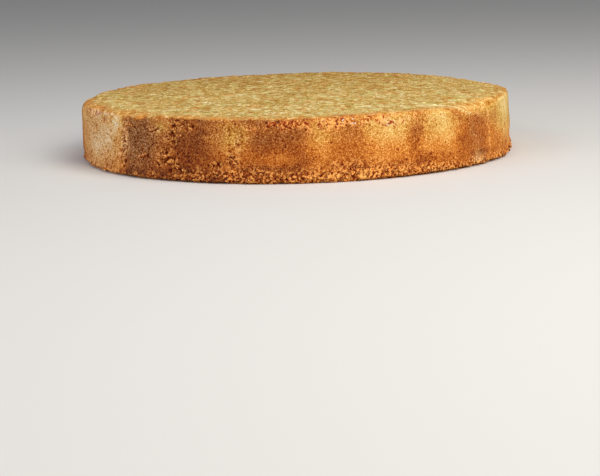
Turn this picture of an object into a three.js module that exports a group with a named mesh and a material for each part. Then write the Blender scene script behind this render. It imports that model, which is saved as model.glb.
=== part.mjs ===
// A plain round almond cake, baked in a paper-lined springform tin and turned out whole.
// It is one solid piece: a flat base, a low wall marked by the folds of the baking paper, a soft
// shoulder and a nearly level top.
// Millimetres, +Z up. The origin is the middle of the base, and the best side looks along -Y.
import * as THREE from "three";

// Driving dimensions
const BASE_RADIUS = 114.3; // a nine-inch tin
const RIM_DRAW_IN = 1.2; // the wall shrinks from the tin by this much on its way up
const RIM_LEAN = -0.9; // the rim sits this far along X from the base
const RIM_HEIGHT = 31; // base to the flat of the top, at the rim
const CROWN_RISE = 1.2; // the middle of the top stands this much higher
const SHOULDER_RADIUS = 2.4; // rounding between the wall and the top
const FOOT_RADIUS = 1.3; // rounding between the base and the wall
const FOOT_FLARE = 0.5; // the crumbly foot spreads by this much
const FOOT_BAND = 7; // height of the crumbly foot

// Marks of the baking paper: each fold leaves an upright groove, and the paper between two folds
// stands a little flatter than the round of the tin. Angles run from -Y towards +X, in degrees.
const FOLD_ANGLES = [-134, -91, -48, -15, 31, 58, 97, 139, 176];
const FOLD_DEPTH = 0.7;
const FOLD_HALF_WIDTH = 3.2; // degrees, about 6 mm
const PANEL_FLATNESS = 0.06; // 0 keeps the circle, 1 gives straight panels

// Places where the rim sank or crumbled away. Each one is centred on an angle, reaches some degrees
// to both sides, drops the edge of the rim, and fades out over a width towards the middle.
const RIM_DIPS = [
  { at: -138, reach: 14, drop: 0.6, width: 10 },
  { at: -106, reach: 18, drop: 0.8, width: 10 },
  { at: -84, reach: 15, drop: 3.2, width: 7 },
  { at: -43, reach: 9, drop: 1.8, width: 10 },
  { at: 52, reach: 17, drop: 3.2, width: 13 },
  { at: 114, reach: 24, drop: 1.6, width: 12 },
];

// Slow swells, each a whole number of lobes round the cake, turned by an angle in degrees
const WALL_SWELLS = [
  { lobes: 2, height: 0.3, turn: 90 },
  { lobes: 5, height: 0.22, turn: 70 },
  { lobes: 13, height: 0.14, turn: 8 },
];
const TOP_SWELLS = [
  { lobes: 2, height: 0.15, turn: -70 },
  { lobes: 3, height: 0.12, turn: 50 },
  { lobes: 7, height: 0.12, turn: 15 },
];

const STILL_RADIUS = 70; // nearer the middle than this, the wall's marks don't reach

// Fineness of the faceted solid
const SEGMENTS = 168;
const WALL_STEPS = 7;
const SHOULDER_STEPS = 4;
const TOP_STEPS = 9;
const TOP_CROWDING = 1.5; // above 1, the top's rings lie closer together near the rim

const { degToRad, euclideanModulo, lerp, smoothstep } = THREE.MathUtils;

// Smallest turn from one angle to another, in degrees, -180 to 180.
function turnBetween(from, to) {
  return euclideanModulo(to - from + 180, 360) - 180;
}

// 1 at the middle of a bump, falling smoothly to 0 at its reach.
function bump(distance, reach) {
  return 1 - smoothstep(Math.abs(distance), 0, reach);
}

function swell(waves, angle) {
  return waves.reduce(
    (sum, { lobes, height, turn }) =>
      sum + height * Math.cos(lobes * degToRad(angle - turn)),
    0,
  );
}

// Depth of the paper's upright grooves at an angle.
function foldGroove(angle) {
  const depths = FOLD_ANGLES.map(
    (fold) => FOLD_DEPTH * bump(turnBetween(fold, angle), FOLD_HALF_WIDTH),
  );
  return Math.max(...depths);
}

// How far the flattened panel between two folds lies inside the circle.
function panelInset(angle) {
  const turns = FOLD_ANGLES.map((fold) => euclideanModulo(angle - fold, 360));
  const past = Math.min(...turns);
  const panel = past + 360 - Math.max(...turns);
  const fromMiddle = degToRad(past - panel / 2);
  const chord = Math.cos(degToRad(panel / 2)) / Math.cos(fromMiddle);
  return PANEL_FLATNESS * BASE_RADIUS * (1 - chord);
}

// How far the dips lower a point of the rim at an angle and a radius.
function rimDip(angle, radius) {
  return RIM_DIPS.reduce((sum, { at, reach, drop, width }) => {
    const nearRim = smoothstep(radius, BASE_RADIUS - width, BASE_RADIUS);
    return sum + drop * nearRim * bump(turnBetween(at, angle), reach);
  }, 0);
}

// The even outline before baking has its way, from the middle of the base to the middle of the top.
function evenProfile() {
  const points = [new THREE.Vector2(0, 0)];
  const rimRadius = BASE_RADIUS - RIM_DRAW_IN;
  const shoulderBase = RIM_HEIGHT - SHOULDER_RADIUS;
  const arc = (centreRadius, centreHeight, radius, from, share) => {
    const a = degToRad(from + 90 * share);
    points.push(
      new THREE.Vector2(
        centreRadius + radius * Math.cos(a),
        centreHeight + radius * Math.sin(a),
      ),
    );
  };
  for (const share of [0, 0.5])
    arc(BASE_RADIUS - FOOT_RADIUS, FOOT_RADIUS, FOOT_RADIUS, -90, share);
  for (let i = 0; i < WALL_STEPS; i++) {
    const share = i / WALL_STEPS;
    points.push(
      new THREE.Vector2(
        lerp(BASE_RADIUS, rimRadius, share),
        lerp(FOOT_RADIUS, shoulderBase, share),
      ),
    );
  }
  for (let i = 0; i < SHOULDER_STEPS; i++)
    arc(
      rimRadius - SHOULDER_RADIUS,
      shoulderBase,
      SHOULDER_RADIUS,
      0,
      i / SHOULDER_STEPS,
    );
  const flatRadius = rimRadius - SHOULDER_RADIUS;
  for (let i = 0; i <= TOP_STEPS; i++) {
    const radius = flatRadius * (1 - (i / TOP_STEPS) ** TOP_CROWDING);
    const rise = CROWN_RISE * (1 - (radius / flatRadius) ** 2);
    points.push(new THREE.Vector2(radius, RIM_HEIGHT + rise));
  }
  return points;
}

// Where baking moves a point of the even cake: the wall follows the paper, the top settles.
function baked(radius, angle, height) {
  const nearWall = smoothstep(radius, STILL_RADIUS, BASE_RADIUS);
  const aboveFoot = smoothstep(height, 0, RIM_HEIGHT);
  const flare = FOOT_FLARE * bump(height, FOOT_BAND);
  const inset = foldGroove(angle) + panelInset(angle);
  const outward = swell(WALL_SWELLS, angle) + flare - inset;
  const unevenness =
    swell(TOP_SWELLS, angle) * smoothstep(radius, 0, STILL_RADIUS);
  const settled = unevenness - rimDip(angle, radius);
  return {
    radius: radius + nearWall * outward,
    height: height + settled * aboveFoot,
  };
}

function cakeGeometry() {
  // The lathe turns about +Y from +Z, and the quarter turn about X stands it up facing -Y.
  const geometry = new THREE.LatheGeometry(evenProfile(), SEGMENTS);
  geometry.rotateX(Math.PI / 2);
  const position = geometry.getAttribute("position");
  for (let i = 0; i < position.count; i++) {
    const radius = Math.hypot(position.getX(i), position.getY(i));
    const turn = Math.atan2(position.getX(i), -position.getY(i));
    const to = baked(radius, THREE.MathUtils.radToDeg(turn), position.getZ(i));
    position.setXYZ(
      i,
      to.radius * Math.sin(turn) + (RIM_LEAN * to.height) / RIM_HEIGHT,
      -to.radius * Math.cos(turn),
      to.height,
    );
  }
  geometry.computeVertexNormals();
  return geometry;
}

const goldenCrust = new THREE.MeshStandardMaterial({
  name: "golden_crust",
  color: "#c48a4c",
  roughness: 0.8,
  metalness: 0,
});

const cake = new THREE.Mesh(cakeGeometry(), goldenCrust);
cake.name = "cake";

const almondCake = new THREE.Group();
almondCake.name = "almond_cake";
almondCake.add(cake);

export default almondCake;
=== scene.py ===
# A plain round almond cake, baked in a paper-lined springform tin and turned out whole.
# The crust is one closed skin laid over the cake's solid. Its crumb, pores, tears and paper
# creases are relief in that skin. Toasted crumbs and bits of almond are small separate pieces.
# Sizes are in millimetres until a mesh is made. Angles are in degrees, from the front (-Y)
# towards +X.
import math
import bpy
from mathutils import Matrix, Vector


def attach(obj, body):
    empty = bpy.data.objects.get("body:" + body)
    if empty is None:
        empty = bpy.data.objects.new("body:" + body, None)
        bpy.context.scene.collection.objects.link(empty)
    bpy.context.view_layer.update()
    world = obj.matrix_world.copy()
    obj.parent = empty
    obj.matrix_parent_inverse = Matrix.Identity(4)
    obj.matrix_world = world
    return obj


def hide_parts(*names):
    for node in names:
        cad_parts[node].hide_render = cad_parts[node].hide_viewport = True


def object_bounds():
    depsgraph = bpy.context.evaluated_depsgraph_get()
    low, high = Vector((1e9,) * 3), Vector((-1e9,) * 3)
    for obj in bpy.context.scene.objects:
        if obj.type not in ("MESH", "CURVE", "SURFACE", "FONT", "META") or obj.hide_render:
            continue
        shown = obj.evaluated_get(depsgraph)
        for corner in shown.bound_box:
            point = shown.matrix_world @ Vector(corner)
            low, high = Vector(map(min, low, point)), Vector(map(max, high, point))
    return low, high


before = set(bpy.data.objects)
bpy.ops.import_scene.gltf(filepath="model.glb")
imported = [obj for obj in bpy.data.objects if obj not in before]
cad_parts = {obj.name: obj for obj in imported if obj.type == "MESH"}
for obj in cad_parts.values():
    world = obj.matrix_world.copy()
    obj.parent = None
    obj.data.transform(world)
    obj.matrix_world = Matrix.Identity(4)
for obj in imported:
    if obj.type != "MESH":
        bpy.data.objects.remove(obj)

from types import SimpleNamespace

import bmesh
import bpy
import numpy as np
from mathutils import Matrix, Vector, noise
from mathutils.bvhtree import BVHTree

MM = 0.001
cake_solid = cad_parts["cake"]
solid_low, solid_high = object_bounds()
CAKE_RADIUS = (solid_high[0] - solid_low[0]) / 2 / MM
CAKE_TOP = solid_high[2] / MM

# ---------------------------------------------------------------- the skin's mesh

RING_POINTS = 1280  # points in one ring of the side, 0.56 mm apart
SIDE_STEP = 0.58  # between two rings of the side
TOP_STEP = 1.6  # between two rings of the top
FINEST_TOP_GAP = 0.9  # a ring of the top with its points closer than this takes half as many
STAND_OFF = 1.5  # the even rings start this far outside the solid
FOOT_ROUNDING = 1.3
SHOULDER_ROUNDING = 2.4
FOOT_STEPS = 3
SHOULDER_STEPS = 8
BASE_RING_SHARES = [0.0, 0.2, 0.48, 0.72, 0.86, 0.92, 0.955]  # of the base's radius
SMOOTHING_PASSES = 5


def even_rings():
    """Rings from the middle of the base to the middle of the top: radius, height, points."""
    foot_radius = CAKE_RADIUS - FOOT_ROUNDING
    rings = []
    for place, share in enumerate(BASE_RING_SHARES):
        halvings = len(BASE_RING_SHARES) - place
        points = RING_POINTS >> halvings if share else 1
        rings.append((foot_radius * share, 0.0, points))
    rings.append((foot_radius, 0.0, RING_POINTS))
    for step in range(1, FOOT_STEPS + 1):
        turn = math.radians(90 * step / FOOT_STEPS)
        reach = FOOT_ROUNDING + STAND_OFF * step / FOOT_STEPS
        out, down = reach * math.sin(turn), reach * math.cos(turn)
        rings.append((foot_radius + out, FOOT_ROUNDING - down, RING_POINTS))
    shoulder_height = CAKE_TOP - SHOULDER_ROUNDING
    side_rings = round((shoulder_height - FOOT_ROUNDING) / SIDE_STEP)
    for step in range(1, side_rings):
        height = FOOT_ROUNDING + (shoulder_height - FOOT_ROUNDING) * step / side_rings
        rings.append((CAKE_RADIUS + STAND_OFF, height, RING_POINTS))
    shoulder_radius = CAKE_RADIUS - SHOULDER_ROUNDING
    for step in range(SHOULDER_STEPS):
        turn = math.radians(90 * step / SHOULDER_STEPS)
        reach = SHOULDER_ROUNDING + STAND_OFF
        out, up = reach * math.cos(turn), reach * math.sin(turn)
        rings.append((shoulder_radius + out, shoulder_height + up, RING_POINTS))
    points = RING_POINTS
    top_rings = round(shoulder_radius / TOP_STEP)
    for step in range(top_rings + 1):
        radius = shoulder_radius * (1 - step / top_rings)
        if step == top_rings:
            points = 1
        elif math.tau * radius / points < FINEST_TOP_GAP:
            points //= 2
        rings.append((radius, CAKE_TOP + STAND_OFF, points))
    return rings


def stitch(low, low_points, high, high_points):
    """Faces between two rings that start at vertices low and high, seen from outside."""
    faces = []
    for i in range(max(low_points, high_points)):
        if low_points == high_points:
            j = (i + 1) % low_points
            faces.append((low + i, low + j, high + j, high + i))
        elif low_points == 1:
            faces.append((low, high + (i + 1) % high_points, high + i))
        elif high_points == 1:
            faces.append((low + i, low + (i + 1) % low_points, high))
        elif low_points > high_points:
            j, k = i // 2, (i // 2 + 1) % high_points
            faces.append((low + i, low + (i + 1) % low_points, high + (k if i % 2 else j)))
            if i % 2 == 0:
                faces.append((low + i + 1, high + k, high + j))
        else:
            j, k = i // 2, (i // 2 + 1) % low_points
            faces.append((low + (k if i % 2 else j), high + (i + 1) % high_points, high + i))
            if i % 2 == 0:
                faces.append((low + j, low + k, high + i + 1))
    return faces


def even_skin():
    """Points, faces and the first and last vertex of the base's own rings."""
    points, faces, starts = [], [], []
    rings = even_rings()
    for radius, height, count in rings:
        starts.append(len(points))
        for i in range(count):
            turn = math.tau * i / count
            points.append((radius * math.sin(turn), -radius * math.cos(turn), height))
    for ring in range(len(rings) - 1):
        faces += stitch(starts[ring], rings[ring][2], starts[ring + 1], rings[ring + 1][2])
    base_points = starts[len(BASE_RING_SHARES) + 1]
    return np.array(points), faces, base_points


def laid_on_solid(points, base_points):
    """Each point outside the base moves to the nearest place on the cake's solid."""
    tree = BVHTree.FromObject(cake_solid, bpy.context.evaluated_depsgraph_get())
    laid = points.copy()
    for i in range(base_points, len(points)):
        place = tree.find_nearest(Vector(points[i]) * MM)[0]
        laid[i] = np.array(place) / MM
    return laid


def make_mesh(name, points, faces):
    mesh = bpy.data.meshes.new(name)
    mesh.from_pydata((np.asarray(points) * MM).tolist(), [], faces)
    mesh.update()
    piece = bpy.data.objects.new(name, mesh)
    bpy.context.scene.collection.objects.link(piece)
    return piece


def move_points(mesh, points):
    mesh.vertices.foreach_set("co", (points * MM).ravel())
    mesh.update()


def add_mask(piece, name, values):
    layer = piece.data.attributes.new(name, "FLOAT", "POINT")
    layer.data.foreach_set("value", values.astype(np.float32))


def neighbour_mean(values, edges, count):
    """The mean of each point's neighbours along the mesh's edges."""
    total = np.zeros_like(values)
    for column in range(values.shape[1]):
        total[:, column] = np.bincount(edges[:, 0], values[edges[:, 1], column], count)
        total[:, column] += np.bincount(edges[:, 1], values[edges[:, 0], column], count)
    links = np.bincount(edges.ravel(), minlength=count)
    return total / links[:, None]


def normals_of(mesh):
    normals = np.empty(len(mesh.vertices) * 3, np.float32)
    mesh.vertices.foreach_get("normal", normals)
    return normals.reshape(-1, 3).astype(float)


# ---------------------------------------------------------------- fields over the skin


def smoothstep(values, start, end):
    share = np.clip((values - start) / (end - start), 0, 1)
    return share * share * (3 - 2 * share)


def lerp(start, end, share):
    return start + (end - start) * share


def grain(points, size, *, seed, octaves=1):
    """Even noise from about -1 to 1, with lumps of the given size."""
    shift = Vector((seed * 17.3, seed * 5.7, seed * 11.1))
    values = np.zeros(len(points))
    for octave in range(octaves):
        scale = 2**octave / size
        lumps = [noise.noise(Vector(point) * scale + shift) for point in points]
        values += np.array(lumps) / 2**octave
    return values


def turn_between(start, end):
    return (end - start + 180) % 360 - 180


def around(angle, at, half_angle):
    """1 at an angle, falling softly to about a third at the half angle on both sides."""
    return np.exp(-((turn_between(at, angle) / half_angle) ** 2))


def between(values, low, high, softness):
    """1 from low to high, with soft ends."""
    return smoothstep(values, low - softness, low + softness) * (
        1 - smoothstep(values, high - softness, high + softness)
    )


def towards_rim(radius, far, near):
    """0 at some way in from the edge of the cake, rising to 1 nearer to it."""
    return smoothstep(radius, CAKE_RADIUS - far, CAKE_RADIUS - near)


def soft_spot(skin, at, middle, half_angle, half_height):
    """1 in the middle of a spot on the side, falling softly to about a third at its half sizes."""
    across = turn_between(at, skin.angle) / half_angle
    up = (skin.height - middle) / half_height
    return np.exp(-1.2 * (across**2 + up**2) ** 1.5)


def round_the_side(angle, stops):
    """The value at an angle, between the values of the nearest stops: pairs of angle and value."""
    angles, values = zip(*stops)
    return np.interp(angle, angles, values, period=360)


# Upright bands of browning round the side, where the paper lay close or stood away. Each starts at
# an angle, over a soft edge, leans by degrees for each mm of height, and browns the crust from 0,
# pale gold, to 1, dark brown.
SIDE_BANDS = [
    # start, softness, lean, browning
    (-180, 6, 0, 0.45),
    (-166, 5, 0.1, 0.22),
    (-152, 4, -0.1, 0.66),
    (-138, 3, 0, 0.3),
    (-126, 5, 0.15, 0.72),
    (-112, 4, 0, 0.42),
    (-100, 5, -0.1, 0.18),
    (-90, 4, 0, 0.58),
    (-77, 5, 0, 0.24),
    (-48.5, 2, 0, 0.68),
    (-38, 4, 0, 0.68),
    (-33, 4, 0, 0.86),
    (-21, 4, -0.1, 0.54),
    (-11.5, 4, -0.2, 0.72),
    (2, 4, 0.05, 0.42),
    (9, 4, 0, 0.58),
    (17, 4, 0, 0.34),
    (28, 3, 0, 0.56),
    (33, 3, 0, 0.26),
    (42.5, 3.5, 0, 0.58),
    (56, 5, 0, 0.4),
    (65, 4, 0, 0.18),
    (80, 5, 0, 0.46),
    (92, 4, 0.1, 0.24),
    (106, 5, -0.1, 0.66),
    (120, 4, 0, 0.34),
    (131, 3, 0, 0.16),
    (145, 4, 0.1, 0.6),
    (160, 5, 0, 0.3),
    (171, 4, 0, 0.56),
]

# Where the crust is more golden than it is brown, from a height up to the rim: angle, share,
# height at which it starts.
GOLD_NEAR_RIM = [
    (-140, 0.5, 15), (-110, 0.6, 15), (-85, 0.5, 18), (-62, 0.2, 16), (-51, 0.1, 10),
    (-47, 1, 6), (-42, 1, 10), (-35, 0.9, 12), (-26, 0.35, 14), (-17, 0.9, 10), (-10, 0.7, 14),
    (0, 0.5, 15), (20, 0.45, 16), (35, 0.7, 14), (50, 0.4, 20), (58, 0.9, 16), (67, 1, 8),
    (78, 1, 8), (90, 0.5, 8), (120, 0.5, 15), (170, 0.7, 15),
]

# Single patches on the front of the side, from left to right, that stood nearer to the tin or
# further from it than their band: angle, height, half sizes, and browning added.
SIDE_PATCHES = [
    (-73, 27, 4, 3, -0.12), (-71, 28.5, 3, 2, 0.1), (-69, 20, 4, 8, 0.04), (-68, 8, 3, 3, 0.12),
    (-66, 8, 6, 6, -0.12), (-65, 13, 5, 5, -0.08), (-63, 22, 2.5, 2.5, 0.14),
    (-61, 28, 3, 2.5, -0.08), (-60, 31, 10, 3, -0.12), (-59, 16, 10, 14, -0.14),
    (-57, 9, 3, 2.5, 0.02), (-56, 27, 3, 1.5, 0.06), (-55, 5, 4, 3, 0.1), (-55, 19, 3, 5, -0.06),
    (-51.5, 25, 2.2, 6, -0.2), (-50, 6, 3, 3, -0.04), (-50, 18, 2.5, 8, 0.12),
    (-50, 21, 1.5, 3, 0.08), (-50, 24, 2, 2, 0.08), (-50, 27, 2.5, 3, -0.1),
    (-48.2, 18, 1.8, 14, -0.18), (-47, 3, 5, 2.5, -0.12), (-46, 2, 6, 3, 0.15),
    (-45, 3, 4, 2, 0.1), (-44, 5, 9, 3, -0.12), (-43, 8, 4, 2.5, -0.06), (-35, 21, 2, 3, 0.06),
    (-35, 26, 4, 6, -0.26), (-34, 6.5, 3, 2.5, -0.08), (-34, 12, 4.5, 5, -0.16),
    (-33, 3, 18, 3, 0.14), (-30, 25, 3, 4, -0.08), (-30, 30, 3, 2, -0.08),
    (-28, 9, 11, 2.5, -0.08), (-27, 28, 4, 4, -0.2), (-20, 15, 2.5, 4, 0.08), (-15, 3, 3, 3, 0.15),
    (-15, 3, 4, 2, 0.08), (-15, 15, 3, 3, 0.05), (-15, 19, 4, 6, -0.14), (-14, 3, 4, 2, 0.1),
    (-14, 29, 6, 4, -0.08), (-10, 6, 3, 2, 0.14), (-10, 24.5, 6, 3, -0.12), (-10, 27, 2, 2, 0.08),
    (-10, 31, 28, 2.5, 0.22), (-9, 4, 4, 3, 0.2), (-8, 6.5, 9, 3, 0.26), (-8, 22, 5, 5, 0.1),
    (-5, 9, 3, 2, -0.08), (-5, 11, 4.5, 4, -0.2), (-4, 13.5, 3, 3, -0.08), (0, 27, 5, 2, 0.06),
    (1, 5.5, 3, 2, 0.14), (3, 8.5, 8, 2, 0.05), (5, 17, 6, 4, -0.08), (5, 25, 4, 7, -0.08),
    (12, 3, 6, 3, -0.24), (12, 3, 6, 2, -0.08), (14, 8.5, 8, 2, 0.05), (14, 28, 22, 3, -0.02),
    (15, 6.5, 16, 1.8, 0.07), (15, 30, 3, 2, -0.08), (17, 3, 7, 3, -0.14), (20, 27, 4, 2, -0.1),
    (22, 23, 6, 6, -0.14), (25, 6.5, 4, 2.5, 0.2), (30, 3, 4, 2, -0.08), (30, 9.5, 3, 3, -0.12),
    (30.5, 21, 2.4, 6, 0.12), (33, 27, 7, 3, -0.08), (35, 3, 4, 2.5, -0.12), (35, 17, 3, 6, 0.08),
    (36, 8, 6, 5, 0.2), (38, 20, 4, 8, -0.05), (40, 4, 4, 4, 0.12), (40, 27, 3, 2, -0.08),
    (45, 23, 8, 3, -0.06), (45, 27, 6, 3, 0.06), (45, 30, 3, 2, 0.12), (50, 6, 4, 2, 0.1),
    (50, 29, 7, 4, -0.28), (52, 3, 4, 2, -0.1), (52, 5, 13, 5, -0.16), (52, 17, 6, 9, 0.08),
    (55, 6, 3, 2, 0.1), (55, 7, 8, 2.5, 0.16), (55, 21, 3, 3, 0.08), (57, 4, 12, 3, 0.02),
    (60, 8.5, 8, 2, -0.08), (60, 25, 4, 5, 0.1), (60, 28, 7, 4, -0.14), (68, 5, 9, 6, 0.18),
    (70, 3, 4, 2, 0.1), (72, 19, 8, 8, 0.08), (73, 26, 6, 7, -0.14),
]

# Places on the side where the crust is greyer than it is golden: angle, half angle, share.
DULL_PLACES = [(-43, 7, 0.9), (-62, 14, 0.7), (-84, 8, 0.4), (150, 14, 0.6), (110, 10, 0.5)]

# Patches torn open when the paper came away: angle, height, half sizes, depth.
TEARS = [
    (-29, 27, 3.2, 3, 0.5), (-32.5, 21, 3.4, 4.4, 0.5), (-34, 14.5, 2.6, 3, 0.4),
    (-34, 9.5, 4.6, 3, 0.4), (-30, 5.5, 3.4, 1.8, 0.3), (-41, 11, 2.6, 1.8, 0.2),
    (-38.5, 24, 2.2, 1.8, 0.3), (-20, 8.5, 2.4, 2, 0.3), (-16, 11, 1.8, 4, 0.1),
    (-48.5, 15, 0.9, 13, 0.2), (53.5, 24.5, 0.7, 0.7, 0.3), (98, 21, 1, 5, 0.1),
    (103, 9, 3.6, 2, 0.2), (141, 27, 3.4, 2, 0.3), (143, 20, 2.2, 4.4, 0.3),
    (140, 12, 2.4, 3.4, 0.3), (144, 8, 4.6, 2, 0.3), (-164, 8, 5, 2.2, 0.2),
    (-131, 22, 1.2, 5, 0.1), (-128, 14, 3, 2.2, 0.2), (-112, 8, 4.4, 2.2, 0.3),
]

# Where the crust is most porous: angle, height, half sizes, share.
POROUS_PLACES = [
    (-33, 16, 9, 15, 1),
    (-5, 26, 26, 5, 0.8),
    (30, 26, 16, 4, 0.7),
    (-62, 8, 14, 8, 0.6),
    (-54, 14, 5, 16, 1),
    (-68, 28, 12, 4, 0.9),
    (50, 18, 8, 9, 0.4),
    (-112, 16, 14, 12, 0.8),
    (150, 12, 16, 10, 0.7),
    (-14.5, 18, 3, 5, 1.6),
]

# Narrow upright creases left by folds of the paper: angle, lowest, highest, depth, sway, and
# degrees of lean for each mm of height.
CREASES = [
    (-47.5, 18, 31, 0.5, 5.5, 0),
    (-48.5, 7, 21, 0.5, 4, 0.3),
    (-49.5, 20, 26, 0.35, 3, -0.9),
    (-14.5, 5, 23, 0.25, 1.6, 0),
    (58, 4, 26, 0.2, 0.6, 0),
    (97, 2, 28, 0.4, 0.8, 0),
    (139, 3, 27, 0.35, 0.9, 0.1),
    (176, 4, 29, 0.4, 1, 0),
    (-134, 3, 30, 0.4, 0.8, -0.1),
    (-91, 4, 29, 0.35, 0.7, 0),
]
CREASE_REACH = 1.44  # from the middle of a crease to its edge
CREASE_END = 1.5  # how softly a crease starts and ends

# Along these lengths the rim is crumblier: angle, height, half sizes, share. At the front it is
# so above a shallow seam where the paper ended.
CRUMBLY_RIMS = [
    (12, 27.5, 26, 4, 0.65),
    (-64, 29.5, 14, 2.6, 0.55),
    (-150, 29, 18, 2.5, 0.5),
]
SEAM = (-21, 34, 25.2, 0.3)  # from one angle to another, height, depth
SEAM_REACH = 1.1  # from the middle of the seam to its edge
WORN_RIM = (57, 12, 1.4)  # angle, half angle, how much is rounded off the shoulder
SUNKEN_RIM = (-97, 5, 1.4, 9)  # angle, half angle, depth, and how wide it is
PALE_RIM = (57, 10)  # the sunken stretch of the rim is paler: angle, half angle
LAPPED_RIM = (24, 22, 15)  # the side's crust laps over the rim: angle, half angle, width
BARE_ALMOND = (13, 28, 3, 1.6)  # bits of almond lie bare: angle, height, half sizes

# A low fold runs out over the rim where its edge sank, pale with top skin and a painted
# highlight: angle, how far in from the rim, strength.
LIP = [(30, 21, 0), (37, 18, 0.4), (42, 14, 1), (46, 6.5, 1), (51, 1, 0.9), (57, -1, 0)]
LIP_HEIGHT = 0.4
LIP_HALF_WIDTH = 1.7

# Where the side is drawn in: angle, height, half sizes, depth.
DENTS = [
    (-120, 12, 14, 9, 0.7),
    (-80, 1, 16, 5, 1.2),
    (80, 4, 14, 8, 1),
    (160, 18, 16, 9, 0.8),
]

# Where the paper was wrinkled upright: angle, half angle, depth.
WRINKLES = [(71, 9, 0.3), (-60, 8, 0.08), (125, 14, 0.12), (-165, 12, 0.12)]

# How high the open crumb reaches at the foot: angle, height.
FOOT_REACHES = [
    (-150, 6), (-120, 4), (-80, 3), (-60, 2.2), (-45, 1.8), (-37, 2.5), (-30, 4.5), (-25, 5.5),
    (-16, 8), (2, 7), (13, 9), (24, 7), (34, 5), (50, 3.5), (72, 4), (100, 6.5), (140, 4),
    (165, 7),
]

# How far the lower edge is undercut, where the foot shrank from its base: angle, depth.
UNDERCUTS = [
    (-150, 1), (-100, 2), (-60, 1.2), (-40, 2.2), (-20, 2), (-8, 0.8), (12, 0.8), (22, 2),
    (45, 2.2), (60, 1.8), (75, 1), (130, 2), (165, 0.8),
]

# How deep the relief is, in mm.
TOP_SWELL = 0.1  # slow waves of the top
SIDE_SWELL = 0.28  # slow waves of the side
LUMP_DEPTH = 0.16  # lumps all over
CRUST_DEPTH = 0.2  # the whole crust's grain
CRUMB_DEPTH = 0.65  # lumps of the open crumb
TOP_DEPTH = 0.55  # flakes of the top
HOLLOW_DEPTH = 0.9  # hollows where whole crumbs came away
NOTCH_DEPTH = 1.5  # notches in the lower edge

# The names of the masks that the crust's finish is painted by.
FINISH_MASKS = (
    "top browning top_browning gold dull rim_band pale_rim crumbly_rim lip "
    "open_crumb crumb_tone parted crowding finish_relief"
).split()


def even_crust():
    """The skin laid on the cake's solid and smoothed, and its points."""
    points, faces, base_points = even_skin()
    points = laid_on_solid(points, base_points)
    piece = make_mesh("cake_crust", points, faces)
    mesh = piece.data
    edges = np.empty(len(mesh.edges) * 2, np.int32)
    mesh.edges.foreach_get("vertices", edges)
    edges = edges.reshape(-1, 2)
    for _ in range(SMOOTHING_PASSES):
        mean = neighbour_mean(points, edges, len(points))
        points[base_points:] = lerp(points, mean, 0.5)[base_points:]
    move_points(mesh, points)
    return piece, points


def skin_places(points, normals):
    """Where the skin's points are, the noise that its features share, and its top and side."""
    skin = SimpleNamespace(
        points=points,
        level=normals[:, 2],  # 1 where it lies flat, 0 where it stands upright
        radius=np.hypot(points[:, 0], points[:, 1]),
        angle=np.degrees(np.arctan2(points[:, 0], -points[:, 1])),
        height=points[:, 2],
        slow=grain(points, 26, seed=1),
        lumps=grain(points, 7.5, seed=2, octaves=2),
        fine=grain(points, 2.0, seed=3),
        finer=grain(points, 1.2, seed=4),
        fray=grain(points, 2.6, seed=5),
    )
    at, half_angle, width = LAPPED_RIM
    lapped = towards_rim(skin.radius + 3 * skin.lumps, width, 4)
    lapped *= around(skin.angle, at, half_angle)
    ragged = skin.level + 0.3 * skin.fray + 0.12 * skin.lumps
    skin.top = smoothstep(ragged - 0.3 * lapped, 0.42, 1.0)
    skin.side = 1 - skin.top
    return skin


def tear_crust(skin):
    """How far the crust is torn open, 0 to 1, and how deep in mm."""
    torn = np.zeros(len(skin.points))
    depth = np.zeros(len(skin.points))
    for *place, deepest in TEARS:
        spot = soft_spot(skin, *place)
        here = smoothstep(spot + 0.8 * skin.fray, 0.35, 0.75) * smoothstep(spot, 0.02, 0.2)
        torn = np.maximum(torn, here)
        depth = np.maximum(depth, deepest * here)
    skin.torn = torn * skin.side
    skin.tear_depth = depth * skin.side


def paper_seam(skin):
    """The depth of the shallow seam that the paper's edge left, in mm."""
    start, end, level, depth = SEAM
    along = between(skin.angle, start, end, 3)
    across = skin.height - level - 1.2 * grain(skin.points, 12, seed=16)
    return depth * along * (1 - smoothstep(np.abs(across), 0.0, SEAM_REACH))


def crease_crust(skin):
    """How far the paper creased the crust, 0 to 1, and the depth of its creases and seam in mm."""
    sway = grain(skin.points, 6, seed=9, octaves=2)
    creased = np.zeros(len(skin.points))
    groove = np.zeros(len(skin.points))
    for at, lowest, highest, depth, swing, lean in CREASES:
        leaning = at + lean * (skin.height - (lowest + highest) / 2)
        across = np.radians(turn_between(leaning, skin.angle)) * skin.radius + swing * sway
        here = between(skin.height, lowest, highest, CREASE_END)
        here *= 1 - smoothstep(np.abs(across), 0.0, CREASE_REACH)
        creased = np.maximum(creased, here)
        groove = np.maximum(groove, depth * here)
    frayed = smoothstep(creased + 0.5 * skin.fray, 0.25, 0.7) * smoothstep(creased, 0, 0.1)
    skin.creased = 0.9 * frayed * skin.side
    seam = paper_seam(skin) * smoothstep(skin.fray, -0.3, 0.3)
    skin.groove = (groove + seam) * skin.side


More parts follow.
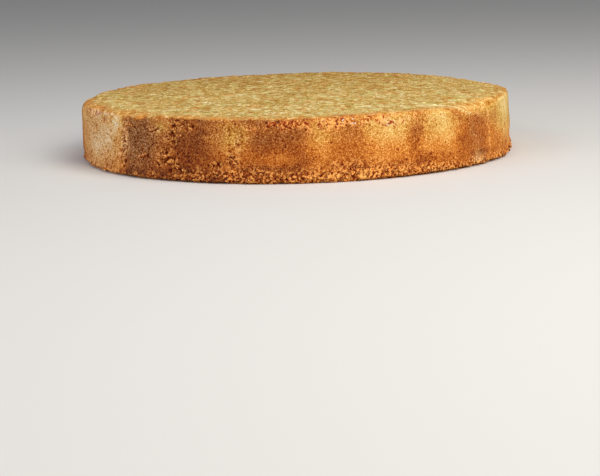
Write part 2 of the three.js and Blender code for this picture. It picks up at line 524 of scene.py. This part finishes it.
def crumble_crust(skin):
    """Where the foot and the rim are crumbly, and where the crumb lies open in all, 0 to 1."""
    reach = round_the_side(skin.angle, FOOT_REACHES)
    reach = reach + 2.0 * grain(skin.points, 6, seed=8) + 2.4 * skin.fray
    skin.foot = (1 - smoothstep(skin.height, reach * 0.45, reach * 1.4)) * skin.side
    skin.crumbly_rim = np.zeros(len(skin.points))
    for *place, share in CRUMBLY_RIMS:
        spot = soft_spot(skin, *place)
        near = smoothstep(spot, 0.02, 0.2) * skin.side
        here = share * smoothstep(spot + 0.8 * skin.fray + 0.5 * skin.lumps, 0.5, 0.9) * near
        skin.crumbly_rim = np.maximum(skin.crumbly_rim, here)
    # How open the crumb is, how far it shows the sponge's own tone, and how far its lumps part.
    openings = (skin.torn, skin.foot, skin.crumbly_rim, skin.creased)
    skin.open_crumb, skin.crumb_tone, skin.parted = (
        np.maximum.reduce([share * opening for share, opening in zip(shares, openings)])
        for shares in ((1.0, 0.9, 1.0, 1.0), (0.6, 0.85, 1.0, 0.55), (1.0, 0.85, 0.3, 0.5))
    )


def crumb_relief(skin):
    """The relief of crust, open crumb and top, about -1 to 1, and its depth in mm."""
    pits = smoothstep(grain(skin.points, 1.25, seed=6) + 0.12 * skin.torn, 0.17, 0.34)
    crumbs = smoothstep(grain(skin.points, 1.1, seed=7), 0.05, 0.4) * (1 - pits)
    skin.crowding = 0.5 * smoothstep(grain(skin.points, 9, seed=10), -0.3, 0.5)
    for *place, share in POROUS_PLACES:
        skin.crowding = np.maximum(skin.crowding, share * soft_spot(skin, *place))
    pore_grain = grain(skin.points, 1.2, seed=11) + 0.15 * skin.crowding
    pores = skin.side * smoothstep(pore_grain, 0.50, 0.62)
    on_crust = 0.15 * skin.fine + 0.4 * skin.finer - 1.4 * pores
    in_crumb = crumbs - 1.25 * pits + 0.3 * skin.finer
    on_top = 0.6 * grain(skin.points, 4.4, seed=12) + 0.6 * skin.fine + 0.3 * skin.finer
    relief = lerp(lerp(on_crust, in_crumb, skin.open_crumb), on_top, skin.top)
    depth = lerp(lerp(CRUST_DEPTH, CRUMB_DEPTH, skin.parted), TOP_DEPTH, skin.top)
    return relief, depth


def rise_of(skin):
    """How far each point rises from the even skin, in mm."""
    relief, depth = crumb_relief(skin)
    foot_hollows = 0.7 * skin.foot * smoothstep(grain(skin.points, 1.25, seed=20), 0.18, 0.32)
    torn_hollows = skin.torn * smoothstep(grain(skin.points, 1.7, seed=19), 0.18, 0.31)
    skin.hollows = np.maximum(torn_hollows, foot_hollows)
    rise = lerp(TOP_SWELL, SIDE_SWELL, skin.side) * skin.slow + LUMP_DEPTH * skin.lumps
    rise += depth * relief

    # The wrinkles run upright, so their noise is drawn out along the height.
    wrinkled = np.maximum.reduce(
        [deepest * around(skin.angle, at, half_angle) for at, half_angle, deepest in WRINKLES]
    )
    skin.wrinkles = grain(skin.points * (1, 1, 0.08), 2.6, seed=17) * wrinkled * skin.side
    rise -= skin.tear_depth + skin.groove + HOLLOW_DEPTH * skin.hollows - skin.wrinkles
    for *place, deepest in DENTS:
        rise -= deepest * soft_spot(skin, *place) * skin.side

    at, half_angle, worn = WORN_RIM
    shoulder = smoothstep(skin.level, 0.1, 0.5) * (1 - smoothstep(skin.level, 0.85, 1.0))
    rise -= worn * shoulder * around(skin.angle, at, half_angle)
    at, half_angle, sunken, width = SUNKEN_RIM
    near_rim = towards_rim(skin.radius, width, 2) * smoothstep(skin.level, 0.2, 0.7)
    rise -= sunken * near_rim * around(skin.angle, at, half_angle)

    inset = round_the_side(skin.angle, [(at, inset) for at, inset, _ in LIP])
    across = skin.radius - CAKE_RADIUS + inset + 1.5 * skin.fray
    skin.lip = round_the_side(skin.angle, [(at, strength) for at, _, strength in LIP])
    skin.lip *= np.exp(-((across / LIP_HALF_WIDTH) ** 2))
    skin.lip *= smoothstep(skin.level, 0.0, 0.3) * (0.8 + 0.4 * skin.fray)
    rise += LIP_HEIGHT * skin.lip

    # To the finish, hollows and frayed grooves lie deeper than they are: painted shade, as little
    # light gets in. The lip is painted paler: a painted highlight.
    frayed = skin.groove * smoothstep(skin.fray, 0.0, 0.35)
    skin.finish_relief = relief - 3.0 * skin.hollows - 2.4 * frayed + 0.7 * skin.lip
    return rise


def undercut(skin, moved):
    """Draws the lower edge in, ragged, with notches where crumbs fell away."""
    notch = smoothstep(grain(skin.points, 2.8, seed=13), 0.05, 0.45)
    notch *= NOTCH_DEPTH * (1 - smoothstep(skin.height, 0.4, 2.2))
    notch += round_the_side(skin.angle, UNDERCUTS) * (1 - smoothstep(skin.height, 0.5, 1.2))
    notch *= towards_rim(skin.radius, 4, 1)
    moved[:, :2] *= (1 - notch / CAKE_RADIUS)[:, None]
    moved[:, 2] = np.maximum(moved[:, 2], 0.0)


def side_browning(skin):
    """How far the side is browned, 0 to 1, by its bands and patches, and more towards the foot."""
    sway = 2.4 * grain(skin.points, 14, seed=14, octaves=2) + 2.0 * skin.fray
    level = np.full(len(skin.points), SIDE_BANDS[-1][3])
    wrapped = (skin.angle + 180) % 360 - 180  # the back is where the first band starts
    for start, softness, lean, browning in SIDE_BANDS:
        edge = start + lean * (skin.height - CAKE_TOP / 2) + sway
        level = lerp(level, browning, smoothstep(wrapped, edge - softness, edge + softness))
    for *place, more in SIDE_PATCHES:
        level = level + more * soft_spot(skin, *place)
    level = level + 0.05 * grain(skin.points, 9, seed=15)
    level = level + 0.14 * (1 - smoothstep(skin.height, 3, 17)) - 0.8 * skin.wrinkles
    return np.clip(level, 0, 1)


def gold_near_rim(skin):
    """How golden the side is, which grows with the height."""
    share = round_the_side(skin.angle, [(at, share) for at, share, _ in GOLD_NEAR_RIM])
    start = round_the_side(skin.angle, [(at, start) for at, _, start in GOLD_NEAR_RIM])
    return share * smoothstep(skin.height, start, start * 0.4 + 18)


def brown_crust(skin):
    """How browned the side and the top are, with painted shade towards the top's back, and where
    they are golden, dull or pale.
    """
    skin.browning = side_browning(skin)
    skin.gold = gold_near_rim(skin)
    across, back = skin.points[:, 0] / CAKE_RADIUS, skin.points[:, 1] / CAKE_RADIUS
    # The top is browner towards the back and paler towards its left and right: partly its own
    # uneven browning, partly painted light falloff from the lamps in front.
    skin.top_browning = 0.47 + 0.12 * back + 0.06 * skin.slow - 0.05 * across**2
    skin.dull = skin.side * np.maximum.reduce(
        [share * soft_spot(skin, at, 17, half_angle, 17) for at, half_angle, share in DULL_PLACES]
    )
    skin.rim_band = towards_rim(skin.radius + 4 * skin.lumps, 13, 1)
    skin.pale_rim = around(skin.angle, *PALE_RIM) * towards_rim(skin.radius + 5 * skin.fray, 14, 5)


def make_cake_crust():
    """The cake's skin, with its relief and the masks that its finish is painted by."""
    piece, points = even_crust()
    normals = normals_of(piece.data)
    skin = skin_places(points, normals)
    tear_crust(skin)
    crease_crust(skin)
    crumble_crust(skin)
    rise = rise_of(skin) * smoothstep(skin.height, 0.0, 0.9)
    moved = points + normals * rise[:, None]
    undercut(skin, moved)
    move_points(piece.data, moved)
    piece.data.shade_smooth()
    brown_crust(skin)
    for name in FINISH_MASKS:
        add_mask(piece, name, getattr(skin, name))
    skin.crust_points, skin.crust_normals = moved, normals_of(piece.data)
    return piece, skin


# ---------------------------------------------------------------- crumbs and almond


def grain_shape(fineness):
    """Points and faces of one round grain, 2 mm across."""
    shape = bmesh.new()
    bmesh.ops.create_icosphere(shape, subdivisions=fineness, radius=1)
    points = np.array([v.co for v in shape.verts])
    faces = np.array([[v.index for v in f.verts] for f in shape.faces])
    shape.free()
    return points, faces


def turned_to(normals, turns):
    """For each normal a rotation that stands a grain on the surface, turned about the normal."""
    up = normals / np.linalg.norm(normals, axis=1)[:, None]
    guide = np.stack([np.cos(turns), np.sin(turns), 0.3 * np.ones_like(turns)], axis=1)
    along = np.cross(guide, up)
    along /= np.linalg.norm(along, axis=1)[:, None]
    return np.stack([along, np.cross(up, along), up], axis=2)


BREAKS = 5  # planes that a grain is broken off along
BREAK_DEPTH = 0.55  # how far from a grain's middle they lie, as a share of its radius


def scatter_grains(name, rng, skin, chances, count, longest, flatness, sunk, fineness):
    """Lumpy grains on the skin, each sunk in it by a share of its own thickness."""
    shape, shape_faces = grain_shape(fineness)
    places = rng.choice(len(chances), count, replace=False, p=chances / chances.sum())
    toast = rng.random(count)
    lengths = rng.triangular(longest[0], longest[0] * 1.3, longest[1], count)
    spans = np.stack([np.ones(count), rng.uniform(0.55, 0.95, count)], axis=1)
    spans = np.column_stack([spans, rng.uniform(*flatness, count)]) * lengths[:, None] / 2
    # Each grain is broken off along a few planes, and a little knobbly.
    breaks = rng.normal(size=(count, BREAKS, 3))
    breaks /= np.linalg.norm(breaks, axis=2)[:, :, None]
    past = np.einsum("vj,nkj->nvk", shape, breaks).max(axis=2)
    broken_off = BREAK_DEPTH / np.maximum(past, BREAK_DEPTH)
    knobbly = broken_off + rng.normal(0, 0.07, (count, len(shape)))
    grains = shape[None] * knobbly[:, :, None] * spans[:, None]
    normals = skin.crust_normals[places]
    turns = turned_to(normals, rng.uniform(0, math.tau, count))
    grains = np.einsum("nij,npj->npi", turns, grains)
    lift = spans[:, 2] * (1 - 2 * rng.uniform(*sunk, count))
    grains += (skin.crust_points[places] + normals * lift[:, None])[:, None]
    grains[:, :, 2] = np.maximum(grains[:, :, 2], 0.0)
    faces = shape_faces[None] + (np.arange(count) * len(shape))[:, None, None]
    piece = make_mesh(name, grains.reshape(-1, 3), faces.reshape(-1, 3).tolist())
    browning = (skin.browning * (1 - 0.6 * skin.torn))[places]
    add_mask(piece, "browning", np.repeat(browning, len(shape)))
    add_mask(piece, "toast", np.repeat(toast, len(shape)))
    piece.data.shade_smooth()
    return piece


# ---------------------------------------------------------------- finishes


def tone(hex_colour):
    """An sRGB hex colour as the linear colour that shaders take."""
    channels = [int(hex_colour[i : i + 2], 16) / 255 for i in (1, 3, 5)]
    linear = [c / 12.92 if c <= 0.04045 else ((c + 0.055) / 1.055) ** 2.4 for c in channels]
    return (*linear, 1.0)


def add_node(tree, kind, inputs=None, stops=None, **settings):
    """Adds a node. An input takes a value, or a link where it is given a node or its output."""
    node = tree.nodes.new(kind)
    for name, value in settings.items():
        setattr(node, name, value)
    for socket, value in (inputs or {}).items():
        if isinstance(value, bpy.types.Node):
            value = next(output for output in value.outputs if output.enabled)
        if isinstance(value, bpy.types.NodeSocket):
            tree.links.new(value, node.inputs[socket])
        else:
            node.inputs[socket].default_value = value
    for place, (position, hex_colour) in enumerate(stops or []):
        elements = node.color_ramp.elements
        element = elements[place] if place < len(elements) else elements.new(1.0)
        element.position = position
        element.color = tone(hex_colour)
    return node


def new_finish(name):
    finish = bpy.data.materials.new(name)
    finish.use_nodes = True
    finish.node_tree.nodes.clear()
    return finish, finish.node_tree


def scale_of(mm):
    """The scale of a pattern whose lumps are this wide."""
    return 1 / (mm * MM)


# What a full layer of caramel lets through: it takes away blue first, then green. A thinner or
# thicker layer lets through this to the power of its thickness.
CARAMEL = tone("#A46A26")[:3]

# Ground tones of the crust at even steps of browning: toffee where it lay against the tin, straw
# where it stood away, and ashen where the paper stuck.
TOFFEE = ("#FFE6B0", "#FAC878", "#ECA450", "#D48638", "#B46A2A", "#8A4E20")
STRAW = ("#FAE8B4", "#F0D78C", "#E4BE6A", "#D69C5A", "#B47C46", "#8C5C34")
ASHEN = ("#FFEEDA", "#F8D2A6", "#E8BE92", "#C89A6C", "#A2764E", "#7A5034")

SPONGE = "#F8A44A"  # the open crumb's own tone
DEEP_SPONGE = "#A83C06"  # seen through the rim's cracks
# Painted shade: the tone laid into the gaps between lumps of crumb, where little light gets in.
GAP_SHADE = "#702400"  # seen between lumps of crumb
# The lip's pale top skin, with a painted highlight where the fold catches the light.
LIP_SKIN_AND_HIGHLIGHT = "#FFF0B4"
TOP_STRAW = "#DECD8A"
# The top's amber, cream and moss-gold patches, each laid out by another channel of one noise.
TOP_PATCHES = {"Red": "#E4AC5C", "Green": "#F0ECC4", "Blue": "#BCB660"}
TOP_AT_RIM = "#E2A252"
TOP_AT_SUNKEN_RIM = "#F2C272"
LOOSE_CRUMB = "#F9B058"


def pore_pattern(tree, warped, crowding):
    """Fine pores all over the side, each as wide as it happened to be, and how wide that is."""
    cells = add_node(tree, "ShaderNodeTexVoronoi", {"Vector": warped, "Scale": scale_of(1.5)})
    wide_few = add_node(
        tree, "ShaderNodeMath", {0: cells.outputs["Color"], 1: 2.2}, operation="POWER"
    )
    largest_pore = add_node(
        tree, "ShaderNodeMath", {0: crowding, 1: 0.4, 2: 0.42}, operation="MULTIPLY_ADD"
    )
    pore_size = add_node(
        tree, "ShaderNodeMath", {0: wide_few, 1: largest_pore, 2: 0.06}, operation="MULTIPLY_ADD"
    )
    pores = add_node(
        tree, "ShaderNodeMath", {0: cells.outputs["Distance"], 1: pore_size}, operation="DIVIDE"
    )
    pores = add_node(tree, "ShaderNodeMapRange", {"Value": pores, "From Min": 1.0, "From Max": 0.5})
    return pores, wide_few


def rim_cracks(tree, place, crumbly_rim, broken):
    """Fine cracks that wind along the crumbly rim, broken off here and there."""
    winding = add_node(
        tree, "ShaderNodeTexNoise", {"Vector": place, "Scale": scale_of(4.0), "Detail": 2.0}
    )
    cracks = add_node(tree, "ShaderNodeMath", {0: winding, 1: 0.5}, operation="SUBTRACT")
    cracks = add_node(tree, "ShaderNodeMath", {0: cracks}, operation="ABSOLUTE")
    cracks = add_node(
        tree, "ShaderNodeMapRange", {"Value": cracks, "From Min": 0.1, "From Max": 0.04}
    )
    for share in (crumbly_rim, broken, 1.5):
        cracks = add_node(tree, "ShaderNodeMath", {0: cracks, 1: share}, operation="MULTIPLY")
    return cracks


def painted_gap_shade(tree, warped, parted, broken):
    """Painted shade in the thin gaps that part the lumps where the crumb lies open, where little
    light gets in.
    """
    lump_edges = add_node(
        tree,
        "ShaderNodeTexVoronoi",
        {"Vector": warped, "Scale": scale_of(2.3)},
        feature="DISTANCE_TO_EDGE",
    )
    gaps = add_node(
        tree,
        "ShaderNodeMapRange",
        {"Value": lump_edges.outputs["Distance"], "From Min": 0.24, "From Max": 0.08},
    )
    for share in (broken, parted):
        gaps = add_node(tree, "ShaderNodeMath", {0: gaps, 1: share}, operation="MULTIPLY")
    return gaps


def side_tones(tree, place, browning):
    """The side's three ground tones, which follow its browning, mottled over some millimetres."""
    mottling = add_node(
        tree,
        "ShaderNodeTexNoise",
        {"Vector": place, "Scale": scale_of(5.0), "Detail": 1.0, "Roughness": 0.7},
    )
    level = add_node(
        tree, "ShaderNodeMath", {0: mottling, 1: 0.24, 2: browning}, operation="MULTIPLY_ADD"
    )
    level = add_node(tree, "ShaderNodeMath", {0: level, 1: 0.09}, operation="SUBTRACT")
    return [
        add_node(
            tree,
            "ShaderNodeValToRGB",
            {"Fac": level},
            stops=[(step / 5, steps[step]) for step in range(6)],
        )
        for steps in (TOFFEE, STRAW, ASHEN)
    ]


def top_tones(tree, place, rim_band, pale_rim):
    """The top's ground tone: paler and drier, straw with patches of amber, cream and moss gold."""
    patches = add_node(
        tree,
        "ShaderNodeTexNoise",
        {"Vector": place, "Scale": scale_of(7.0), "Detail": 3.0, "Roughness": 0.65},
    )
    hues = add_node(tree, "ShaderNodeSeparateColor", {"Color": patches.outputs["Color"]})
    layers = []
    for hue, patch_tone in TOP_PATCHES.items():
        share = add_node(
            tree,
            "ShaderNodeMapRange",
            {"Value": hues.outputs[hue], "From Min": 0.5, "From Max": 0.64, "To Max": 0.65},
        )
        layers.append((share, patch_tone))
    near_rim = patches
    for share in (rim_band, 1.6):
        near_rim = add_node(tree, "ShaderNodeMath", {0: near_rim, 1: share}, operation="MULTIPLY")
    layers += [(near_rim, TOP_AT_RIM), (pale_rim, TOP_AT_SUNKEN_RIM)]
    top_tone = tone(TOP_STRAW)
    for share, layer in layers:
        top_tone = add_node(
            tree, "ShaderNodeMix", {"Factor": share, 6: top_tone, 7: tone(layer)}, data_type="RGBA"
        )
    return top_tone


def caramel_layer(tree, place, mask, crumb_walls, grains, pores, wide_few):
    """How thick the caramel is: every grain of sugar and crumb browns on its own."""
    flakes = add_node(
        tree,
        "ShaderNodeTexNoise",
        {"Vector": place, "Scale": scale_of(3.4), "Detail": 3.0, "Roughness": 0.75},
    )
    relief, browning = mask["finish_relief"], mask["browning"]
    # Hollows hold more caramel than raised grains, and the relief's weights also paint shade into
    # the hollows and light onto the raised grains.
    crust_parts = ((grains, 5.8), (relief, -0.6))
    crumb_parts = (
        (grains, 7.2),
        (crumb_walls, 3.8),
        (relief, -0.9),
        (browning, 1.0),
        (mask["crumbly_rim"], 0.5),
    )
    # On the top, the browning mask also carries painted light falloff towards the back.
    top_parts = ((flakes, 2.1), (grains, 1.7), (relief, -0.3), (mask["top_browning"], 1.0))
    layers = []
    for start, parts in ((-2.25, crust_parts), (-6.7, crumb_parts), (-2.02, top_parts)):
        layer = start
        for part, weight in parts:
            layer = add_node(
                tree, "ShaderNodeMath", {0: part, 1: weight, 2: layer}, operation="MULTIPLY_ADD"
            )
        layers.append(layer)
    crust_layer, crumb_layer, top_layer = layers

    # On a browner crust the grains differ more, and the pores are darker, the widest most of all.
    unevenness = 0.13
    for part, weight in ((browning, 0.62), (mask["dull"], 0.25)):
        unevenness = add_node(
            tree, "ShaderNodeMath", {0: part, 1: weight, 2: unevenness}, operation="MULTIPLY_ADD"
        )
    pore_layer = add_node(
        tree, "ShaderNodeMath", {0: unevenness, 1: 1.6, 2: -0.05}, operation="MULTIPLY_ADD"
    )
    widest = add_node(
        tree, "ShaderNodeMath", {0: wide_few, 1: 1.1, 2: 0.5}, operation="MULTIPLY_ADD"
    )
    for share in (pores, widest):
        pore_layer = add_node(
            tree, "ShaderNodeMath", {0: share, 1: pore_layer}, operation="MULTIPLY"
        )
    caramel = add_node(
        tree,
        "ShaderNodeMath",
        {0: crust_layer, 1: unevenness, 2: pore_layer},
        operation="MULTIPLY_ADD",
    )
    for share, other in ((mask["open_crumb"], crumb_layer), (mask["top"], top_layer)):
        caramel = add_node(tree, "ShaderNodeMix", {"Factor": share, 2: caramel, 3: other})
    # A little less than none makes the palest grains stand out.
    return add_node(tree, "ShaderNodeClamp", {"Value": caramel, "Min": -0.12, "Max": 2.0})


def golden_crust():
    """Baked sponge crust: dry, matte and porous, golden on top and toasted where it met the tin."""
    finish, tree = new_finish("golden_crust")
    place = add_node(tree, "ShaderNodeTexCoord").outputs["Object"]
    mask = {
        name: add_node(tree, "ShaderNodeAttribute", attribute_name=name).outputs["Fac"]
        for name in FINISH_MASKS
    }

    # The crumb's walls bend the pores and the gaps' painted shade, and break off the cracks and
    # that shade.
    crumb_walls = add_node(tree, "ShaderNodeTexNoise", {"Vector": place, "Scale": scale_of(1.3)})
    warped = add_node(
        tree,
        "ShaderNodeVectorMath",
        {0: crumb_walls.outputs["Color"], 1: (0.65 * MM,) * 3, 2: place},
        operation="MULTIPLY_ADD",
    )
    broken = add_node(
        tree, "ShaderNodeMapRange", {"Value": crumb_walls, "From Min": 0.42, "From Max": 0.52}
    )
    pores, wide_few = pore_pattern(tree, warped, mask["crowding"])

    toffee, straw, ashen = side_tones(tree, place, mask["browning"])
    skin_tone = toffee
    for share, layer in (
        (mask["gold"], straw),
        (mask["dull"], ashen),
        (mask["crumb_tone"], tone(SPONGE)),
        (rim_cracks(tree, place, mask["crumbly_rim"], broken), tone(DEEP_SPONGE)),
        (mask["top"], top_tones(tree, place, mask["rim_band"], mask["pale_rim"])),
        # The lip is painted pale: its top skin, and a painted highlight on the fold.
        (mask["lip"], tone(LIP_SKIN_AND_HIGHLIGHT)),
    ):
        skin_tone = add_node(
            tree, "ShaderNodeMix", {"Factor": share, 6: skin_tone, 7: layer}, data_type="RGBA"
        )

    # The grain of the crust is drawn a little coarser than it is, so that it shows.
    grains = add_node(
        tree,
        "ShaderNodeTexNoise",
        {"Vector": place, "Scale": scale_of(0.62), "Detail": 1.0, "Roughness": 0.7},
    )
    caramel = caramel_layer(tree, place, mask, crumb_walls, grains, pores, wide_few)
    veil = add_node(tree, "ShaderNodeVectorMath", {0: CARAMEL, 1: caramel}, operation="POWER")
    skin_tone = add_node(
        tree,
        "ShaderNodeMix",
        {"Factor": 1.0, 6: skin_tone, 7: veil},
        data_type="RGBA",
        blend_type="MULTIPLY",
        clamp_result=True,
    )
    # Painted shade darkens the gaps that part the lumps of open crumb.
    skin_tone = add_node(
        tree,
        "ShaderNodeMix",
        {
            "Factor": painted_gap_shade(tree, warped, mask["parted"], broken),
            6: skin_tone,
            7: tone(GAP_SHADE),
        },
        data_type="RGBA",
    )

    # Sugar on the raised grains makes them a little less matte than the hollows.
    roughness = add_node(
        tree,
        "ShaderNodeMapRange",
        {"Value": grains, "From Min": 0.3, "From Max": 0.7, "To Min": 0.86, "To Max": 0.66},
    )
    pore_relief = add_node(
        tree, "ShaderNodeMath", {0: pores, 1: -1.0, 2: grains}, operation="MULTIPLY_ADD"
    )
    bumps = add_node(
        tree, "ShaderNodeBump", {"Height": pore_relief, "Strength": 1.0, "Distance": 0.07 * MM}
    )
    shader = add_node(
        tree,
        "ShaderNodeBsdfPrincipled",
        {
            "Base Color": skin_tone,
            "Roughness": roughness,
            "IOR": 1.45,
            "Specular IOR Level": 0.2,
            "Normal": bumps,
        },
    )
    add_node(tree, "ShaderNodeOutputMaterial", {"Surface": shader})
    return finish


def toasted_crumb():
    """Loose crumbs of the same sponge: dry, rough, and from orange gold to toffee brown."""
    finish, tree = new_finish("toasted_crumb")
    place = add_node(tree, "ShaderNodeTexCoord").outputs["Object"]
    browning, toast = (
        add_node(tree, "ShaderNodeAttribute", attribute_name=name).outputs["Fac"]
        for name in ("browning", "toast")
    )
    lumps = add_node(
        tree, "ShaderNodeTexNoise", {"Vector": place, "Scale": scale_of(0.8), "Detail": 1.0}
    )
    caramel = -1.5
    for part, weight in ((lumps, 0.9), (browning, 1.8), (toast, 2.2)):
        caramel = add_node(
            tree, "ShaderNodeMath", {0: part, 1: weight, 2: caramel}, operation="MULTIPLY_ADD"
        )
    caramel = add_node(tree, "ShaderNodeMath", {0: caramel, 1: -0.15}, operation="MAXIMUM")
    veil = add_node(tree, "ShaderNodeVectorMath", {0: CARAMEL, 1: caramel}, operation="POWER")
    tones = add_node(
        tree,
        "ShaderNodeMix",
        {"Factor": 1.0, 6: tone(LOOSE_CRUMB), 7: veil},
        data_type="RGBA",
        blend_type="MULTIPLY",
    )
    bumps = add_node(
        tree, "ShaderNodeBump", {"Height": lumps, "Strength": 0.6, "Distance": 0.3 * MM}
    )
    shader = add_node(
        tree,
        "ShaderNodeBsdfPrincipled",
        {
            "Base Color": tones,
            "Roughness": 0.7,
            "IOR": 1.45,
            "Specular IOR Level": 0.3,
            "Normal": bumps,
        },
    )
    add_node(tree, "ShaderNodeOutputMaterial", {"Surface": shader})
    return finish


def ground_almond():
    """Bits of blanched almond baked into the top: pale cream, waxy, and a little glossy."""
    finish, tree = new_finish("ground_almond")
    place = add_node(tree, "ShaderNodeTexCoord").outputs["Object"]
    lumps = add_node(
        tree, "ShaderNodeTexNoise", {"Vector": place, "Scale": scale_of(3.0), "Detail": 1.0}
    )
    toast = add_node(tree, "ShaderNodeAttribute", attribute_name="toast").outputs["Fac"]
    paleness = add_node(tree, "ShaderNodeMix", {"Factor": 0.5, 2: lumps, 3: toast})
    tones = add_node(
        tree,
        "ShaderNodeValToRGB",
        {"Fac": paleness},
        stops=[(0.3, "#C8A450"), (0.55, "#DCC070"), (0.8, "#EEDA98")],
    )
    shader = add_node(
        tree,
        "ShaderNodeBsdfPrincipled",
        {"Base Color": tones, "Roughness": 0.45, "IOR": 1.47, "Specular IOR Level": 0.4},
    )
    add_node(tree, "ShaderNodeOutputMaterial", {"Surface": shader})
    return finish


def almond_and_painted_glint():
    """Freshly broken bits of blanched almond on the rim, glossy with sugar: near white, and whiter
    still as a painted glint.
    """
    finish, tree = new_finish("almond_and_painted_glint")
    toast = add_node(tree, "ShaderNodeAttribute", attribute_name="toast").outputs["Fac"]
    # The whitest tone is a painted glint.
    tones = add_node(
        tree, "ShaderNodeValToRGB", {"Fac": toast}, stops=[(0.0, "#F4E2BC"), (0.6, "#FFF8EC")]
    )
    shader = add_node(
        tree, "ShaderNodeBsdfPrincipled", {"Base Color": tones, "Roughness": 0.3, "IOR": 1.5}
    )
    add_node(tree, "ShaderNodeOutputMaterial", {"Surface": shader})
    return finish


# ---------------------------------------------------------------- studio


def stand_camera():
    """A long lens a little above the cake, nearly level, and turned slightly on its axis."""
    lens = bpy.data.cameras.new("camera")
    lens.lens = 96
    lens.sensor_width = 36
    camera = bpy.data.objects.new("camera", lens)
    bpy.context.scene.collection.objects.link(camera)
    stands_back, stands_high = 854.6, 121.8
    looks_down, rolls = math.radians(11.27), math.radians(1.49)
    camera.matrix_world = (
        Matrix.Translation((0, -stands_back * MM, stands_high * MM))
        @ Matrix.Rotation(math.pi / 2 - looks_down, 4, "X")
        @ Matrix.Rotation(-rolls, 4, "Z")
    )
    bpy.context.scene.camera = camera


def hang_softbox(name, azimuth, elevation, distance, width, power, hex_colour):
    """A square soft light that faces the cake. Azimuth runs from the front towards +X, and the
    distance and the width are in metres."""
    light = bpy.data.lights.new(name, "AREA")
    light.size = width
    light.energy = power
    light.color = tone(hex_colour)[:3]
    softbox = bpy.data.objects.new(name, light)
    turn, lift = math.radians(azimuth), math.radians(elevation)
    away = Vector(
        (math.sin(turn) * math.cos(lift), -math.cos(turn) * math.cos(lift), math.sin(lift))
    )
    softbox.location = away * distance
    softbox.rotation_mode = "QUATERNION"
    softbox.rotation_quaternion = away.to_track_quat("Z", "Y")
    softbox.visible_camera = False
    bpy.context.scene.collection.objects.link(softbox)


def lay_floor():
    """A wide, pale, matte floor, a hair below the cake."""
    half, level = 6000, -0.1
    corners = [(x * half, y * half, level) for x, y in ((-1, -1), (1, -1), (1, 1), (-1, 1))]
    floor = make_mesh("studio_floor", corners, [(0, 1, 2, 3)])
    finish, tree = new_finish("pale_floor")
    shader = add_node(
        tree, "ShaderNodeBsdfPrincipled", {"Base Color": tone("#DAD8D4"), "Roughness": 0.9}
    )
    add_node(tree, "ShaderNodeOutputMaterial", {"Surface": shader})
    floor.data.materials.append(finish)


def light_studio():
    """A dim, even surround, a warm key from the right, a cool fill from the left, one overhead."""
    scene = bpy.context.scene
    scene.view_settings.view_transform = "Standard"
    world = bpy.data.worlds.new("studio")
    world.use_nodes = True
    surround = world.node_tree.nodes["Background"]
    surround.inputs["Color"].default_value = tone("#E6E8EC")
    surround.inputs["Strength"].default_value = 0.30
    scene.world = world
    hang_softbox("key_softbox", 40, 40, 1.0, 0.65, 6.6, "#FFF9F0")
    hang_softbox("fill_softbox", -55, 28, 1.8, 1.2, 11, "#EEF2FF")
    hang_softbox("top_softbox", 30, 72, 0.7, 0.5, 1.6, "#FFFFFF")


stand_camera()
light_studio()
lay_floor()

crust, skin = make_cake_crust()
crust.data.materials.append(golden_crust())
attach(crust, "root")
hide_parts("cake")

# Crumbs lie loose where the crumb is open and stands up, in clusters, and clear of the floor.
rng = np.random.default_rng(5)
loose = np.maximum.reduce([skin.torn, 0.9 * skin.foot, 0.5 * skin.creased]) * (1 - skin.hollows)
crumb_chances = loose**2 * np.clip(skin.finish_relief + 0.3, 0, 1)
crumb_chances *= 0.12 + smoothstep(grain(skin.crust_points, 6, seed=21), 0.0, 0.35)
crumb_chances *= skin.crust_points[:, 2] > 0.5
crumbs = scatter_grains(
    "crumbs",
    rng,
    skin,
    crumb_chances,
    count=2450,
    longest=(0.45, 1.4),
    flatness=(0.5, 0.9),
    sunk=(0.45, 0.8),
    fineness=2,
)
crumbs.data.materials.append(toasted_crumb())
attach(crumbs, "root")

# Flecks lie all over the top, and thin out towards the rim.
flecks = scatter_grains(
    "almond_flecks",
    rng,
    skin,
    skin.top**4 * (1.1 - skin.rim_band),
    count=1400,
    longest=(1.0, 3.4),
    flatness=(0.18, 0.35),
    sunk=(0.5, 0.85),
    fineness=2,
)
flecks.data.materials.append(ground_almond())
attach(flecks, "root")

# A few bare bits cluster in one place of the crumbly rim, and hardly any lie elsewhere on it.
# Their near-white is partly a painted glint.
grits = scatter_grains(
    "almond_grits",
    rng,
    skin,
    skin.crumbly_rim * (0.02 + soft_spot(skin, *BARE_ALMOND)),
    count=12,
    longest=(0.7, 1.3),
    flatness=(0.6, 0.95),
    sunk=(0.1, 0.4),
    fineness=1,
)
grits.data.materials.append(almond_and_painted_glint())
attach(grits, "root")
